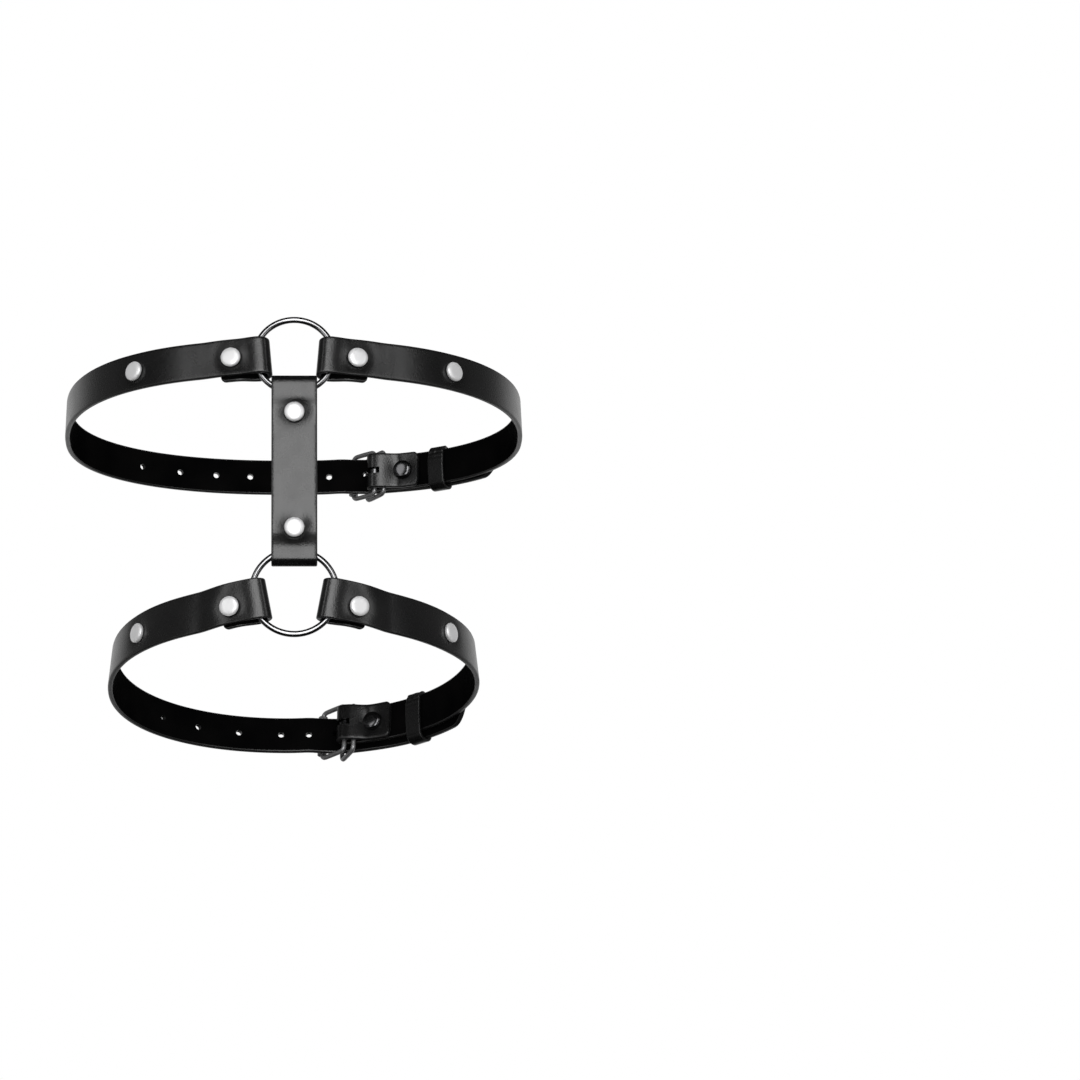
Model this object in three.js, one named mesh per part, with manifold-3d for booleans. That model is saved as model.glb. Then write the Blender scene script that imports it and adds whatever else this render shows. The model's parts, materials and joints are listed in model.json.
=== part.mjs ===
// Thigh harness: two leather bands and two steel rings, joined in front by an upright strap.
// Millimetres, +Z up. The origin lies on the leg's axis between the bands. -Y is the front, -X the left.
// Each band is a holed strap on the left and a buckle strap on the right. It closes at the back, to the right.

import * as THREE from 'three';
import { mergeVertices } from 'three/addons/utils/BufferGeometryUtils.js';
import Module from 'manifold-3d';

const wasm = await Module();
wasm.setup();

// Stock that the pieces are cut and bent from
const LEATHER = 2;
const KEEPER_LEATHER = 1.3;
const RING_WIRE = 2.5;
const BUCKLE_WIRE = 2;
const PRONG_WIRE = 1.7;
const GAP = 0.3; // left between pieces that touch
const LAYER = LEATHER + GAP; // from the middle of one leather layer to the next

// The two bands. Their plan is a rounded oval that is widest at sideY, and squarer the higher its fullness.
// Travel runs along a band from the middle of the front, to the left, round the back and home on the right.
// Leans and flares are degrees by which a band's top leans back or its bottom edge stands out at the sides.
const bands = {
  upper: {
    strapWidth: 15.5, halfWidth: 94.2, frontY: -95, sideY: 4, backY: 82, fullness: 2.32,
    sideZ: 49.9, droop: 0, ringRise: 2.2, riseReach: 38,
    frontLean: 5, backLean: 3, sideFlare: 2,
    ringZ: 51.1, ringRadius: 15.55,
    foldAt: 12.9, tabEnd: 30.2, tabDrop: 1.7, rivetAt: 25.3, rivetDrop: 0.3, outerRivetAt: 68.8,
    heelFromBack: 35.8, backLift: 0.8, strapLift: 0.4, frameLift: 0.5, keeperFromBack: 65,
    holesFromBack: [-69, -50.6, -34.2, -19.2, -2, 15.2], tipFromBack: 96.5,
    frameWidth: 19.2, loopSwing: 9.3, heelRivet: 13, heelTab: 20.2,
  },
  lower: {
    strapWidth: 16.3, halfWidth: 74, frontY: -95, sideY: -21, backY: 51, fullness: 2.15,
    sideZ: -62.15, droop: 0.138, ringRise: 5.7, riseReach: 45,
    frontLean: -4, backLean: 17, sideFlare: 6,
    ringZ: -46.5, ringRadius: 16.8,
    foldAt: 13.9, tabEnd: 31, tabDrop: 1.5, rivetAt: 26.1, rivetDrop: 1.4, outerRivetAt: 73.4,
    heelFromBack: 22, backLift: 3, strapLift: 0.3, frameLift: 1.65, keeperFromBack: 55.7,
    holesFromBack: [-61, -42.5, -23.8, -5.6, 6.2], tipFromBack: 84.5,
    frameWidth: 21.6, loopSwing: 7, heelRivet: 12.8, heelTab: 21.2,
  },
};

// Rings and the folds that hold them. From the middle out, the bands are straight and then take their curve.
const STRAIGHT_TO = 18;
const CURVED_FROM = 38;
const WIRE_PLAY = 0.25; // between a ring's wire and the leather round it
const CENTRE_PLAY = 0.4;
const FOLD_SPREAD = 0.7; // past the ring's wire, before the layers close up
const FOLD_CLOSED = 7; // past the turn, where the layers lie together
const FOLD_STEPS = 6; // in half a turn of leather round a wire
const CORNER = 2.2; // rounding of a tab's corners

// Upright strap
const CENTRE_WIDTH = 18.2;
const CENTRE_FOLD_SIDE = 9.4; // how far from the middle the ring's wire leaves the fold
const CENTRE_TOP_RIVET = 26.8;
const CENTRE_BOTTOM_RIVET = -20.8;
const CENTRE_TAB = 6.5; // from a rivet to the end of its tab

// Rivets
const CAP_RADIUS = 4;
const CAP_HEIGHT = 1.7;
const SHANK_RADIUS = 1.5;
const BACK_CAP_RADIUS = 3;
const BACK_CAP_HEIGHT = 0.8;
const CAP_GAP = 0.5; // under what is flat, such as a cap, where the leather is curved

// Buckles
const FRAME_LENGTH = 10.5; // from the heel bar to the front bar
const FRAME_CORNER = 2.1;
const ROLLER_RADIUS = 2;
const ROLLER_BORE = 1.3;
const ROLLER_PLAY = 0.8; // from a roller's end to the side of its frame
const FRONT_BAR_PUSH = 0.9; // how far the roller draws the holed strap outward
const LOOP_BEHIND_HEEL = 4.2;
const LOOP_CLEAR = 2.6; // between the wire loop and the free end inside it
const EYE_RADIUS = 2.3;
const EYE_WIDTH = 2.4;
const SLOT_WIDTH = 3.4;
const PRONG_HOLE = 4.8; // from the heel bar to the hole that the prong goes through
const PRONG_PAST_BAR = 2.2;
const PRONG_DIP = 0.1; // of its tip, past the bar
const PRONG_START = 0.13; // share of the prong's line that lies inside its eye
const SLOT_BEHIND_HEEL = 4;
const TAB_SLOPE = 3.6; // along the strap, where the tab comes down to the layer under it

// Holed straps and keepers
const HOLE_RADIUS = 1.25;
const TIP_TAPER = 8.5;
const TIP_WIDTH = 4;
const TIP_DROOP = 0.3;
const KEEPER_WIDTH = 7.5;
const KEEPER_PLAY = 0.35; // above and below the strap in a keeper
const KEEPER_OUTER_ROUND = 2.4;
const KEEPER_INNER_ROUND = 0.6;

// Fineness of the facets
const SAMPLES_PER_ROW = 60;
const CLOSEST = 0.2; // between stations of a strap
const STRIDE = 6.5;
const LARGEST_TURN = THREE.MathUtils.degToRad(22);
const BAND_SAMPLES = 1440;
const WIRE_SIDES = 8;
const RING_SEGMENTS = 36;
const RIVET_SIDES = 10;
const HOLE_SIDES = 12;
const SHANK_SIDES = 10;
const ROLLER_SIDES = 12;
const EYE_SIDES = 14;
const CORNER_STEPS = 4; // in a corner of a wire frame
const PRONG_STEPS = 9;
const KEEPER_CORNER_STEPS = 3;

const leather = { color: 0x141415, roughness: 0.42, metalness: 0 };
const polished = { color: 0xd6d6d8, roughness: 0.12, metalness: 1 };
const darkNickel = { color: 0x7d7e82, roughness: 0.18, metalness: 1 };

// Solids to join and cut

function solidOf(geometry) {
  const bare = geometry.clone();
  bare.deleteAttribute('normal');
  bare.deleteAttribute('uv');
  const merged = mergeVertices(bare, 1e-4);
  return new wasm.Manifold(new wasm.Mesh({
    numProp: 3,
    vertProperties: merged.attributes.position.array,
    triVerts: new Uint32Array(merged.index.array),
  }));
}

function geometryOf(solid) {
  const { vertProperties, triVerts } = solid.getMesh();
  const geometry = new THREE.BufferGeometry();
  geometry.setAttribute('position', new THREE.BufferAttribute(vertProperties, 3));
  geometry.setIndex(new THREE.BufferAttribute(triVerts, 1));
  return geometry;
}

function cut(geometry, cutters) {
  const whole = solidOf(geometry);
  return geometryOf(cutters.reduce((rest, cutter) => rest.subtract(solidOf(cutter)), whole));
}

function piece(name, geometry, look) {
  const flat = geometry.index ? geometry.toNonIndexed() : geometry;
  flat.computeVertexNormals();
  const mesh = new THREE.Mesh(flat, new THREE.MeshStandardMaterial(look));
  mesh.name = name;
  return mesh;
}

// Skin over rings of points: each ring has as many points, and runs the same way round.
function skin(rings, closed) {
  const count = rings[0].length;
  const index = [];
  const last = closed ? rings.length : rings.length - 1;
  for (let r = 0; r < last; r += 1) {
    const near = r * count;
    const far = ((r + 1) % rings.length) * count;
    for (let k = 0; k < count; k += 1) {
      const next = (k + 1) % count;
      index.push(near + k, near + next, far + next, near + k, far + next, far + k);
    }
  }
  if (!closed) {
    const end = (rings.length - 1) * count;
    for (let k = 1; k < count - 1; k += 1) {
      index.push(0, k + 1, k);
      index.push(end, end + k, end + k + 1);
    }
  }
  const geometry = new THREE.BufferGeometry().setFromPoints(rings.flat());
  geometry.setIndex(signedVolume(rings.flat(), index) < 0 ? index.reverse() : index);
  return geometry;
}

// Six times the space inside a closed skin, below zero where its faces point inwards
function signedVolume(points, index) {
  let sum = 0;
  for (let k = 0; k < index.length; k += 3) {
    const [a, b, c] = [points[index[k]], points[index[k + 1]], points[index[k + 2]]];
    sum += a.dot(new THREE.Vector3().crossVectors(b, c));
  }
  return sum;
}

// Round wire along stations, each with its middle and two directions across the wire
function wire(stations, radius, closed) {
  const rings = stations.map(({ middle, side, top }) => {
    const ring = [];
    for (let k = 0; k < WIRE_SIDES; k += 1) {
      const turn = (2 * Math.PI * k) / WIRE_SIDES;
      const point = middle.clone().addScaledVector(side, radius * Math.cos(turn));
      ring.push(point.addScaledVector(top, radius * Math.sin(turn)));
    }
    return ring;
  });
  return skin(rings, closed);
}

// Bands

function bandPoint(band, angle) {
  const depth = Math.cos(angle) > 0 ? band.sideY - band.frontY : band.backY - band.sideY;
  const widthPart = Math.abs(Math.sin(angle) / band.halfWidth) ** band.fullness;
  const depthPart = Math.abs(Math.cos(angle) / depth) ** band.fullness;
  const radius = (widthPart + depthPart) ** (-1 / band.fullness);
  const x = -radius * Math.sin(angle);
  const ovalY = band.sideY - radius * Math.cos(angle);
  const atFront = ovalY < band.sideY ? 1 : 0;
  const nearRing = Math.max(0, 1 - Math.abs(x) / band.riseReach);
  const rise = atFront * band.ringRise * nearRing ** 2;
  const straight = atFront * (1 - THREE.MathUtils.smoothstep(Math.abs(x), STRAIGHT_TO, CURVED_FROM));
  const y = THREE.MathUtils.lerp(ovalY, band.frontY, straight);
  return new THREE.Vector3(x, y, band.sideZ - band.droop * (y - band.sideY) + rise);
}

for (const band of Object.values(bands)) {
  band.travels = [0];
  for (let k = 1; k <= BAND_SAMPLES; k += 1) {
    const here = bandPoint(band, (2 * Math.PI * k) / BAND_SAMPLES);
    const before = bandPoint(band, (2 * Math.PI * (k - 1)) / BAND_SAMPLES);
    band.travels.push(band.travels[k - 1] + here.distanceTo(before));
  }
  band.length = band.travels[BAND_SAMPLES];
  band.heelAt = band.length / 2 - band.heelFromBack; // along the buckle strap
}

function bandAngle(band, travel) {
  const wanted = THREE.MathUtils.euclideanModulo(travel, band.length);
  let k = 1;
  while (band.travels[k] < wanted) k += 1;
  const share = (wanted - band.travels[k - 1]) / (band.travels[k] - band.travels[k - 1]);
  return (2 * Math.PI * (k - 1 + share)) / BAND_SAMPLES;
}

// The band's middle line and its three directions. Side 1 measures along from the front to the left,
// side -1 to the right.
function bandFrame(band, side, along) {
  const angle = bandAngle(band, side > 0 ? along : band.length - along);
  const slight = 0.002;
  const point = bandPoint(band, angle);
  const travel = bandPoint(band, angle + slight).sub(bandPoint(band, angle - slight)).normalize();
  const backness = (1 - Math.cos(angle)) / 2;
  const lean = THREE.MathUtils.degToRad(THREE.MathUtils.lerp(band.frontLean, band.backLean, backness));
  const flare = THREE.MathUtils.degToRad(band.sideFlare);
  const up = new THREE.Vector3(Math.tan(flare) * Math.sin(angle), Math.tan(lean), 1);
  up.addScaledVector(travel, -up.dot(travel)).normalize();
  const outward = new THREE.Vector3().crossVectors(up, travel);
  return { point, along: travel.multiplyScalar(side), outward, up };
}

function spot(band, side, along, out, lift = 0) {
  const frame = bandFrame(band, side, along);
  return frame.point.clone().addScaledVector(frame.outward, out).addScaledVector(frame.up, lift);
}

// Turns a shape from its own axes to the given ones and puts it at a point
function placed(geometry, point, xAxis, yAxis, zAxis) {
  const matrix = new THREE.Matrix4().makeBasis(xAxis, yAxis, zAxis).setPosition(point);
  return geometry.applyMatrix4(matrix);
}

// Straps

const row = (along, out, lift = 0) => new THREE.Vector3(along, out, lift);

// Half a turn of a strap round a wire, from one layer to the other. Toward is 1 where the fold points to
// higher values along the strap. Lift gives the strap's height at a share of the turn.
function halfTurn(along, out, radius, toward, startsOutside, lift) {
  const rows = [];
  const from = startsOutside ? 1 : -1;
  for (let k = 0; k <= FOLD_STEPS; k += 1) {
    const turn = (Math.PI * k) / FOLD_STEPS;
    const ahead = toward * radius * Math.sin(turn);
    rows.push(row(along + ahead, out + from * radius * Math.cos(turn), lift(k / FOLD_STEPS)));
  }
  return rows;
}

// Stations along a route: at its rows and at the marks, and between them where it bends or runs long
function stationsAlong(rows, marks) {
  const curve = new THREE.CatmullRomCurve3(rows, false, 'centripetal');
  curve.arcLengthDivisions = (rows.length - 1) * SAMPLES_PER_ROW;
  const lengths = curve.getLengths();
  const length = lengths.at(-1);
  const stops = rows.map((_, k) => lengths[k * SAMPLES_PER_ROW]);
  stops.push(...marks.map((mark) => (mark < 0 ? length + mark : mark)));
  stops.sort((a, b) => a - b);
  const kept = [0];
  for (const stop of stops) {
    const from = kept.at(-1);
    if (stop - from > CLOSEST || stop === length) {
      const turn = curve.getTangentAt(from / length).angleTo(curve.getTangentAt(stop / length));
      const parts = Math.ceil(Math.max(turn / LARGEST_TURN, (stop - from) / STRIDE));
      for (let k = 1; k <= parts; k += 1) kept.push(THREE.MathUtils.lerp(from, stop, k / parts));
    }
  }
  return kept.map((done) => ({
    done,
    left: length - done,
    row: curve.getPointAt(done / length),
    tangent: curve.getTangentAt(done / length),
  }));
}

function roundedWidth(width, fromEnd) {
  if (fromEnd >= CORNER) return width;
  return width - 2 * CORNER + 2 * Math.sqrt(CORNER ** 2 - (CORNER - fromEnd) ** 2);
}

function pointedWidth(width, fromEnd) {
  if (fromEnd >= TIP_TAPER) return width;
  return TIP_WIDTH + (width - TIP_WIDTH) * Math.sin((Math.PI / 2) * (fromEnd / TIP_TAPER)) ** 0.8;
}

const ROUND_MARKS = [0.25, 0.75, 1.5, 2.5];
const POINT_MARKS = [-0.75, -2, -4, -6, -8.5];

// Leather section at a station: middle, direction across the strap and direction through the leather
function section({ middle, across, through, width }) {
  const corners = [[-1, -1], [1, -1], [1, 1], [-1, 1]];
  return corners.map(([a, t]) => middle.clone()
    .addScaledVector(across, (a * width) / 2)
    .addScaledVector(through, (t * LEATHER) / 2));
}

function bandStrap(band, side, rows, pointed) {
  const marks = pointed
    ? [...ROUND_MARKS, ...POINT_MARKS]
    : [...ROUND_MARKS, ...ROUND_MARKS.map((mark) => -mark)];
  const rings = stationsAlong(rows, marks).map(({ done, left, row: at, tangent }) => {
    const frame = bandFrame(band, side, at.x);
    const middle = spot(band, side, at.x, at.y, at.z);
    const run = frame.along.clone().multiplyScalar(tangent.x)
      .addScaledVector(frame.outward, tangent.y).addScaledVector(frame.up, tangent.z).normalize();
    const through = frame.outward.clone().multiplyScalar(tangent.x)
      .addScaledVector(frame.along, -tangent.y).normalize();
    const across = new THREE.Vector3().crossVectors(run, through).multiplyScalar(side).normalize();
    const nearEnd = pointed ? pointedWidth(band.strapWidth, left) : roundedWidth(band.strapWidth, left);
    const width = Math.min(roundedWidth(band.strapWidth, done), nearEnd);
    return section({ middle, across, through, width });
  });
  return skin(rings, false);
}

// Rows from the tab behind a ring, round the ring's wire, to where the strap runs on outside. The fold is
// a little askew, so that the tab hangs below the strap that covers it.
function ringEnd(band) {
  const middle = -LAYER / 2;
  const hung = (share) => -band.tabDrop * (1 - share);
  const nearFold = hung(0.25);
  const unfolding = (share) => nearFold * (1 - share);
  const open = (RING_WIRE + LEATHER) / 2 + WIRE_PLAY;
  const spread = band.ringRadius - band.foldAt + FOLD_SPREAD;
  const closing = (spread + FOLD_CLOSED) / 2;
  const halfOpen = (open + LAYER / 2) / 2;
  return [
    row(band.tabEnd, -LAYER, hung(0)),
    row(band.rivetAt - BACK_CAP_RADIUS, -LAYER, hung(0)),
    row(band.foldAt + FOLD_CLOSED, -LAYER, hung(0)),
    row(band.foldAt + closing, middle - halfOpen, hung(0.1)),
    row(band.foldAt + spread, middle - open, nearFold),
    ...halfTurn(band.foldAt, middle, open, -1, false, unfolding),
    row(band.foldAt + spread, middle + open),
    row(band.foldAt + closing, middle + halfOpen),
    row(band.foldAt + FOLD_CLOSED, 0),
    row(band.rivetAt - BACK_CAP_RADIUS, 0),
    row(band.rivetAt + CAP_RADIUS, 0),
  ];
}

// Half the space between the layers at the heel bar, measured to the middles of the layers
const HEEL_OPEN = (BUCKLE_WIRE + LEATHER) / 2 + CAP_GAP;

function buckleStrapRows(band) {
  const heel = band.heelAt;
  const lift = band.backLift;
  const tabOpen = heel - LOOP_BEHIND_HEEL - 0.6 * BUCKLE_WIRE;
  const rising = [[0.35, 0], [0.5, 0.5], [0.65, 0.95], [0.8, 1]]; // shares of the way and of the lift
  return [
    ...ringEnd(band),
    ...rising.map(([way, share]) => row(heel * way, 0, lift * share)),
    row(heel - band.heelTab, 0, lift),
    row(tabOpen, 0, lift),
    ...halfTurn(heel, -HEEL_OPEN, HEEL_OPEN, 1, true, () => lift),
    row(tabOpen, -2 * HEEL_OPEN, lift),
    row(tabOpen - TAB_SLOPE / 2, -HEEL_OPEN - LAYER / 2, lift),
    row(tabOpen - TAB_SLOPE, -LAYER, lift),
    row(heel - band.heelTab, -LAYER, lift),
  ];
}

const FREE_BEFORE_BAR = 14; // where the holed strap starts to rise to the front bar
const PRONG_HOLE_OUT = 1.9;
const OVERLAP = LAYER + 0.12; // how far out the free end lies on the buckle strap

function holedStrapRows(band) {
  const heel = band.length - band.heelAt;
  const bar = heel - FRAME_LENGTH;
  const lift = band.strapLift;
  return [
    ...ringEnd(band),
    row(band.length / 4, 0),
    row(bar - FREE_BEFORE_BAR, 0, lift / 2),
    row(bar - FREE_BEFORE_BAR / 3, 0, lift),
    row(bar, FRONT_BAR_PUSH, lift),
    row(heel - PRONG_HOLE, PRONG_HOLE_OUT, lift),
    row(heel + BACK_CAP_RADIUS / 3, OVERLAP, lift),
    row(heel + 2 * CAP_RADIUS, OVERLAP, lift),
    row(band.length / 2 + band.tipFromBack, OVERLAP, -TIP_DROOP),
  ];
}

// Cutters

const SHANK_HOLE = SHANK_RADIUS + GAP;
const DRILL = 5 * LEATHER; // deep enough for two layers

function punch(band, side, along, out, lift, radius, depth, sides) {
  const { along: run, outward, up } = bandFrame(band, side, along);
  const drill = new THREE.CylinderGeometry(radius, radius, depth, sides);
  const xAxis = run.clone().multiplyScalar(side);
  return placed(drill, spot(band, side, along, out, lift), xAxis, outward, up);
}

function tongueSlot(band) {
  const reachOn = HEEL_OPEN + LEATHER;
  const box = new THREE.BoxGeometry(SLOT_BEHIND_HEEL + reachOn, 2 * HEEL_OPEN + 2 * LEATHER, SLOT_WIDTH);
  const { along: run, outward, up } = bandFrame(band, -1, band.heelAt);
  const point = spot(band, -1, band.heelAt, -HEEL_OPEN, band.backLift)
    .addScaledVector(run, (reachOn - SLOT_BEHIND_HEEL) / 2);
  return placed(box, point, run.clone().negate(), outward, up);
}

// Rivets: a domed cap, a shank through the leather and a flat cap behind

const DOME = [[0, 1], [0.62, 0.86], [0.92, 0.48], [1, 0]]; // shares of the cap's radius and height
const BACK_CAP_SLOPE = 0.3;

function rivet(grip) {
  const profile = [
    ...DOME.map(([out, high]) => [CAP_RADIUS * out, CAP_HEIGHT * high]),
    [SHANK_RADIUS, 0], [SHANK_RADIUS, -grip], [BACK_CAP_RADIUS, -grip],
    [BACK_CAP_RADIUS - BACK_CAP_SLOPE, -grip - BACK_CAP_HEIGHT], [0, -grip - BACK_CAP_HEIGHT],
  ];
  return new THREE.LatheGeometry(profile.reverse().map(([r, y]) => new THREE.Vector2(r, y)), RIVET_SIDES);
}

function bandRivet(name, band, side, along, drop, layers) {
  const { along: run, outward, up } = bandFrame(band, side, along);
  const grip = layers * LEATHER + (layers - 1) * GAP + 2 * CAP_GAP;
  const point = spot(band, side, along, LEATHER / 2 + CAP_GAP, -drop);
  const xAxis = run.clone().multiplyScalar(side);
  return piece(name, placed(rivet(grip), point, xAxis, outward, up), polished);
}

const SUNK = 0.1; // how far the back cap of a heel rivet lies below the leather's face

// Rivet of a buckle fold: its domed cap is on the inner side, and its back cap lies flush in the strap's
// outer face, where the free end passes over it.
function heelRivet(name, band) {
  const along = band.heelAt - band.heelRivet;
  const { along: run, outward, up } = bandFrame(band, -1, along);
  const grip = 2 * LEATHER + GAP + CAP_GAP - BACK_CAP_HEIGHT - SUNK;
  const point = spot(band, -1, along, -LAYER - LEATHER / 2 - CAP_GAP, band.backLift);
  return piece(name, placed(rivet(grip), point, run, outward.clone().negate(), up), polished);
}

// Wire frames in a plane: a rounded rectangle from a heel bar to a front bar

function frameStations({ heel, forward, level, length }, width, corner) {
  const normal = new THREE.Vector3().crossVectors(forward, level);
  const half = width / 2;
  const stations = [];
  const corners = [
    { f: length - corner, l: half - corner, start: 0 },
    { f: corner, l: half - corner, start: 1 },
    { f: corner, l: corner - half, start: 2 },
    { f: length - corner, l: corner - half, start: 3 },
  ];
  for (const { f, l, start } of corners) {
    for (let k = 0; k <= CORNER_STEPS; k += 1) {
      const turn = (Math.PI / 2) * (start + k / CORNER_STEPS);
      const side = forward.clone().multiplyScalar(Math.cos(turn)).addScaledVector(level, Math.sin(turn));
      const middle = heel.clone().addScaledVector(forward, f).addScaledVector(level, l)
        .addScaledVector(side, corner);
      stations.push({ middle, side, top: normal });
    }
  }
  return stations;
}

// A frame's axes: its heel bar lies in the strap's fold, square to it, its front bar out over the free end
function frameAxes(band, heelAlong, frontAlong, frontOut) {
  const { up: level } = bandFrame(band, -1, heelAlong);
  const heel = spot(band, -1, heelAlong, -HEEL_OPEN, band.frameLift);
  const forward = spot(band, -1, frontAlong, frontOut, band.frameLift).sub(heel);
  forward.addScaledVector(level, -forward.dot(level));
  const length = forward.length();
  forward.normalize();
  const front = heel.clone().addScaledVector(forward, length);
  return { heel, front, forward, level, length };
}

const FRONT_BAR_OUT = FRONT_BAR_PUSH + LEATHER / 2 + GAP + ROLLER_RADIUS;
const buckleAxes = (band) => frameAxes(band, band.heelAt, band.heelAt + FRAME_LENGTH, FRONT_BAR_OUT);

function buckleFrame(name, band) {
  const stations = frameStations(buckleAxes(band), band.frameWidth, FRAME_CORNER);
  return piece(name, wire(stations, BUCKLE_WIRE / 2, true), darkNickel);
}

function wireLoop(name, band) {
  const inner = band.heelAt - LOOP_BEHIND_HEEL;
  const out = LAYER + (LEATHER + BUCKLE_WIRE) / 2 + LOOP_CLEAR;
  const axes = frameAxes(band, inner, inner + band.loopSwing, out);
  const stations = frameStations(axes, band.frameWidth, FRAME_CORNER);
  return piece(name, wire(stations, BUCKLE_WIRE / 2, true), darkNickel);
}

function roller(name, band) {
  const { front, forward, level } = buckleAxes(band);
  const half = band.frameWidth / 2 - BUCKLE_WIRE / 2 - ROLLER_PLAY;
  const outline = [[ROLLER_BORE, -half], [ROLLER_RADIUS, -half], [ROLLER_RADIUS, half], [ROLLER_BORE, half]];
  const profile = [...outline, outline[0]].map(([r, y]) => new THREE.Vector2(r, y));
  const tube = new THREE.LatheGeometry(profile, ROLLER_SIDES);
  const zAxis = new THREE.Vector3().crossVectors(forward, level);
  return piece(name, placed(tube, front, forward, level, zAxis), darkNickel);
}

// Prong: from the eye on the heel bar, out through the strap, to rest on the roller
function prongStations(band) {
  const { heel, front, forward, level } = buckleAxes(band);
  const eyeUp = band.backLift - band.frameLift;
  const tipUp = band.strapLift - band.frameLift;
  const outward = new THREE.Vector3().crossVectors(forward, level);
  const over = ROLLER_RADIUS + GAP + PRONG_WIRE / 2;
  const reach = front.distanceTo(heel);
  const at = (ahead, out) => heel.clone().addScaledVector(forward, ahead).addScaledVector(outward, out)
    .addScaledVector(level, THREE.MathUtils.lerp(eyeUp, tipUp, Math.min(1, ahead / reach)));
  const bow = [[0, 0], [0.45, 0.55], [0.86, 0.98], [1, 1]]; // shares of the way to the bar and the height
  const points = bow.map(([way, height]) => at(reach * way, over * height));
  points.push(at(reach + PRONG_PAST_BAR, over - PRONG_DIP));
  const curve = new THREE.CatmullRomCurve3(points, false, 'centripetal');
  const stations = [];
  for (let k = 0; k <= PRONG_STEPS; k += 1) {
    const share = PRONG_START + (1 - PRONG_START) * (k / PRONG_STEPS);
    const run = curve.getTangentAt(share);
    const side = new THREE.Vector3().crossVectors(level, run).normalize();
    stations.push({ middle: curve.getPointAt(share), side, top: new THREE.Vector3().crossVectors(run, side) });
  }
  return stations;
}

function tongue(name, band) {
  const { heel, forward, level } = buckleAxes(band);
  const half = EYE_WIDTH / 2;
  const outline = [[ROLLER_BORE, -half], [EYE_RADIUS, -half], [EYE_RADIUS, half], [ROLLER_BORE, half]];
  const profile = [...outline, outline[0]].map(([r, y]) => new THREE.Vector2(r, y));
  const zAxis = new THREE.Vector3().crossVectors(forward, level);
  const middle = heel.clone().addScaledVector(level, band.backLift - band.frameLift);
  const eye = placed(new THREE.LatheGeometry(profile, EYE_SIDES), middle, forward, level, zAxis);
  const prong = wire(prongStations(band), PRONG_WIRE / 2, false);
  return piece(name, geometryOf(solidOf(eye).add(solidOf(prong))), darkNickel);
}

function keeper(name, band) {
  const along = band.length / 2 - band.keeperFromBack;
  const { along: run, outward, up } = bandFrame(band, -1, along);
  const lowest = -band.strapWidth / 2 - KEEPER_PLAY;
  const highest = band.strapWidth / 2 + KEEPER_PLAY + band.backLift;
  const innermost = -LEATHER / 2 - CAP_GAP;
  const outermost = LAYER + LEATHER / 2 + CAP_GAP;
  const ringShape = (grow, rounding) => {
    const shape = new THREE.Shape();
    const [x0, x1] = [innermost - grow, outermost + grow];
    const [y0, y1] = [lowest - grow, highest + grow];
    shape.moveTo(x0 + rounding, y0);
    shape.lineTo(x1 - rounding, y0);
    shape.quadraticCurveTo(x1, y0, x1, y0 + rounding);
    shape.lineTo(x1, y1 - rounding);
    shape.quadraticCurveTo(x1, y1, x1 - rounding, y1);
    shape.lineTo(x0 + rounding, y1);
    shape.quadraticCurveTo(x0, y1, x0, y1 - rounding);
    shape.lineTo(x0, y0 + rounding);
    shape.quadraticCurveTo(x0, y0, x0 + rounding, y0);
    return shape;
  };
  const shape = ringShape(KEEPER_LEATHER, KEEPER_OUTER_ROUND);
  shape.holes.push(ringShape(0, KEEPER_INNER_ROUND));
  const settings = { depth: KEEPER_WIDTH, bevelEnabled: false, curveSegments: KEEPER_CORNER_STEPS };
  const loop = new THREE.ExtrudeGeometry(shape, settings).translate(0, 0, -KEEPER_WIDTH / 2);
  return piece(name, placed(loop, spot(band, -1, along, 0), outward, up, run.clone().negate()), leather);
}

// Rings lean as their bands do. A ring's wire lies between the two layers of the folds that hold it.
function ringLean(band) {
  return Math.tan(THREE.MathUtils.degToRad(band.frontLean));
}

function ringY(band) {
  const inFold = spot(band, 1, band.foldAt, -LAYER / 2);
  return inFold.y + (band.ringZ - inFold.z) * ringLean(band);
}

// The upright strap meets the lower wire of one ring and the upper wire of the other
function ringReach(band) {
  return Math.sqrt(band.ringRadius ** 2 - CENTRE_FOLD_SIDE ** 2);
}
const inCentreFold = (band) => (band.ringRadius + ringReach(band)) / 2;
const upperWireY = ringY(bands.upper) - inCentreFold(bands.upper) * ringLean(bands.upper);
const lowerWireY = ringY(bands.lower) + inCentreFold(bands.lower) * ringLean(bands.lower);
const centreY = (upperWireY + lowerWireY) / 2;

// Upright strap, in a plane of its own: z up the strap, y through it

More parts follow.
